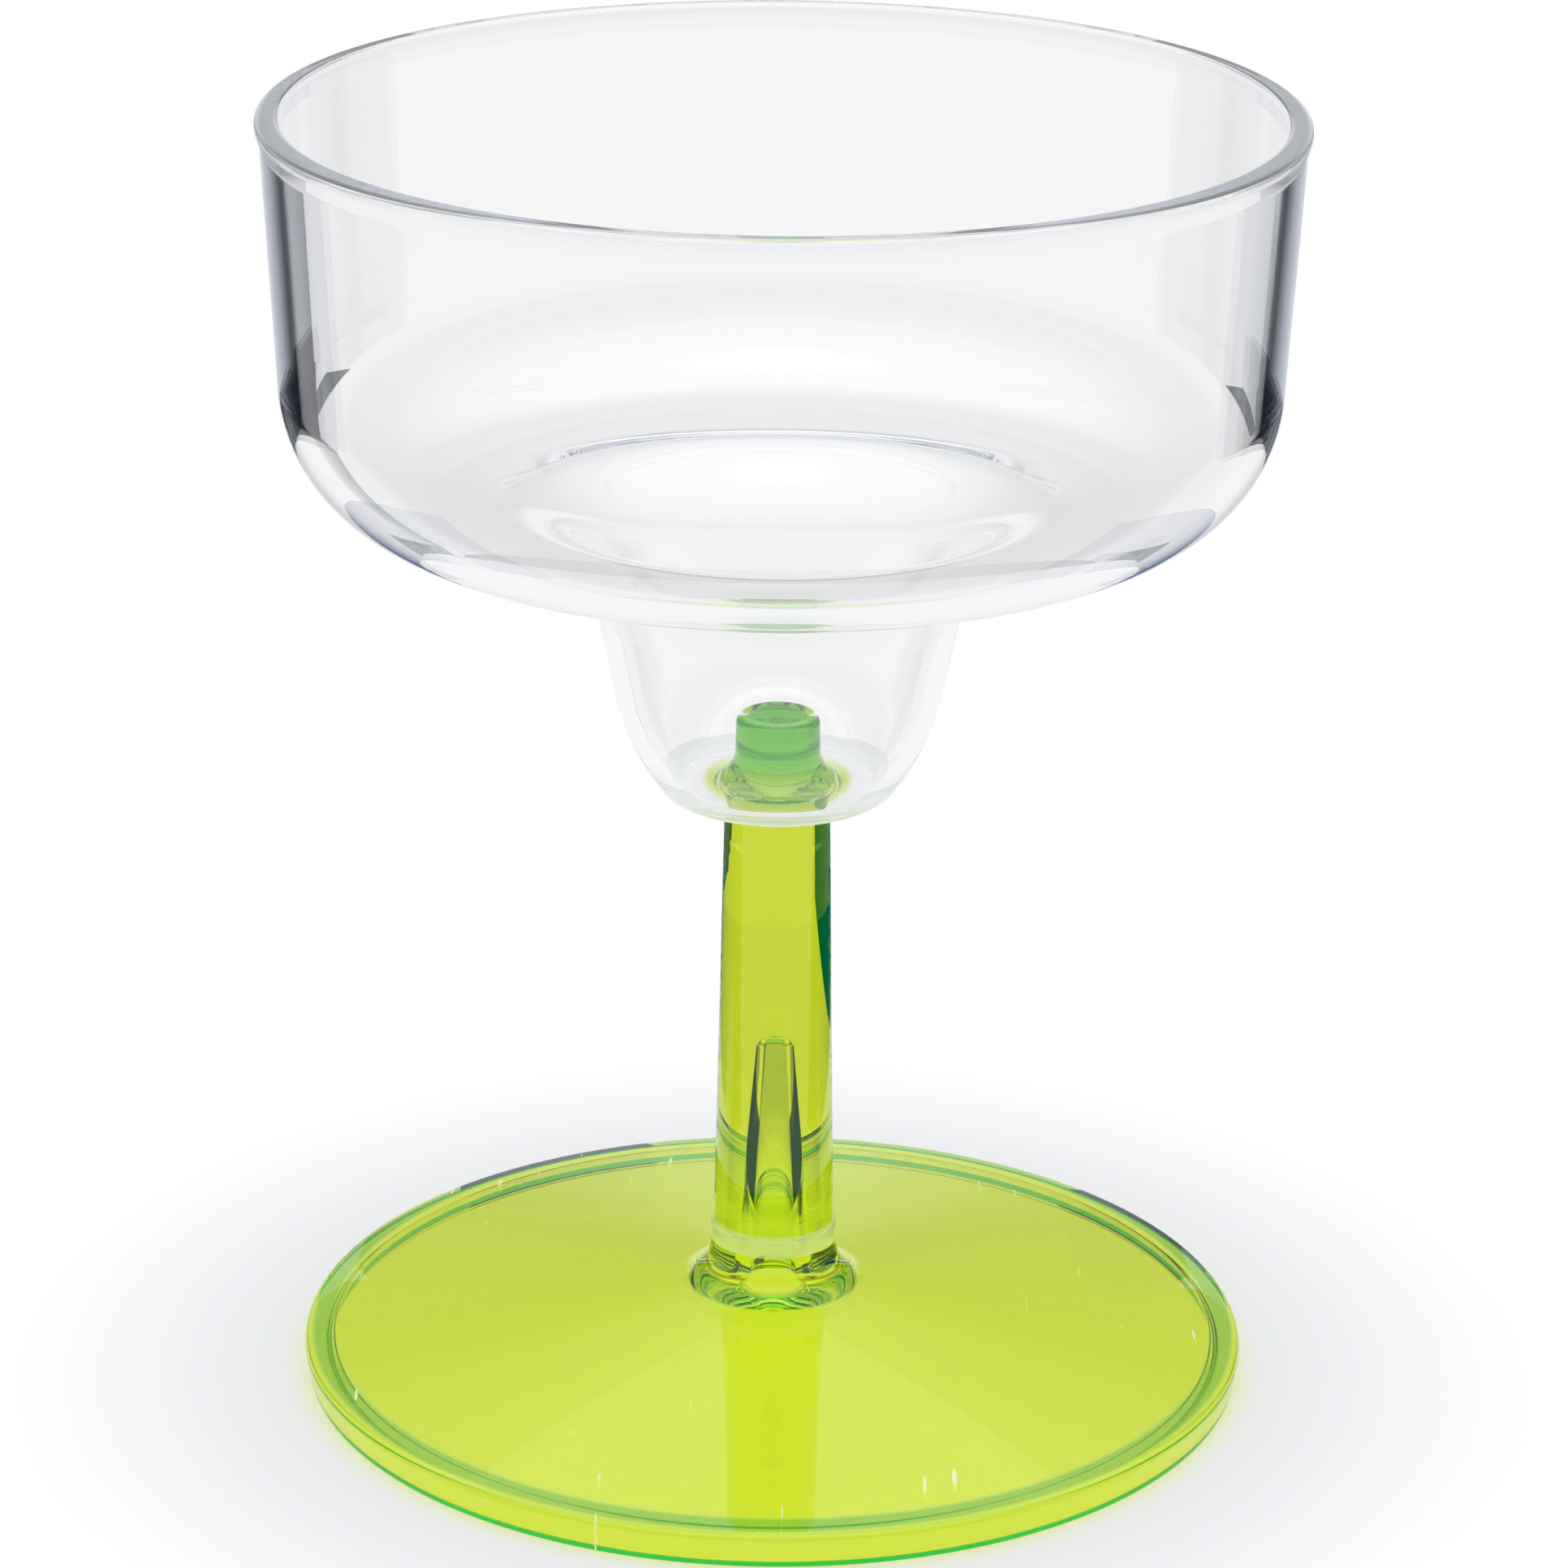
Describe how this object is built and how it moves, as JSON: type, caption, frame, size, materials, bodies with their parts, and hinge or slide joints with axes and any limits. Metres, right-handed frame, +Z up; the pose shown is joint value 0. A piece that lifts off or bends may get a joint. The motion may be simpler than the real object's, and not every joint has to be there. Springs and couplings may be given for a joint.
{
  "type": "margarita glass",
  "caption": "Clear margarita bowl with a wide rim and a narrow well, pegged onto a translucent lime stem and domed foot.",
  "frame": {"origin": "centre of the standing ring under the foot, on the surface that it stands on", "axes": "+Z up the axis of the glass to the rim; the glass is round about it, so +X and +Y are free, and -Y faces the camera"},
  "size_m": [0.108, 0.108, 0.14],
  "materials": {
    "clear_plastic": "clear polystyrene, glossy from a polished mould",
    "lime_plastic": "translucent lime green polystyrene, glossy from a polished mould"
  },
  "bodies": {
    "stem_foot": {"stem_foot": "lime_plastic"},
    "bowl": {"bowl": "clear_plastic"}
  },
  "joints": [
    {"name": "bowl_lift", "type": "slide", "parent": "stem_foot", "child": "bowl", "axis": [0, 0, 1], "range_m": [0, 0.02]}
  ]
}
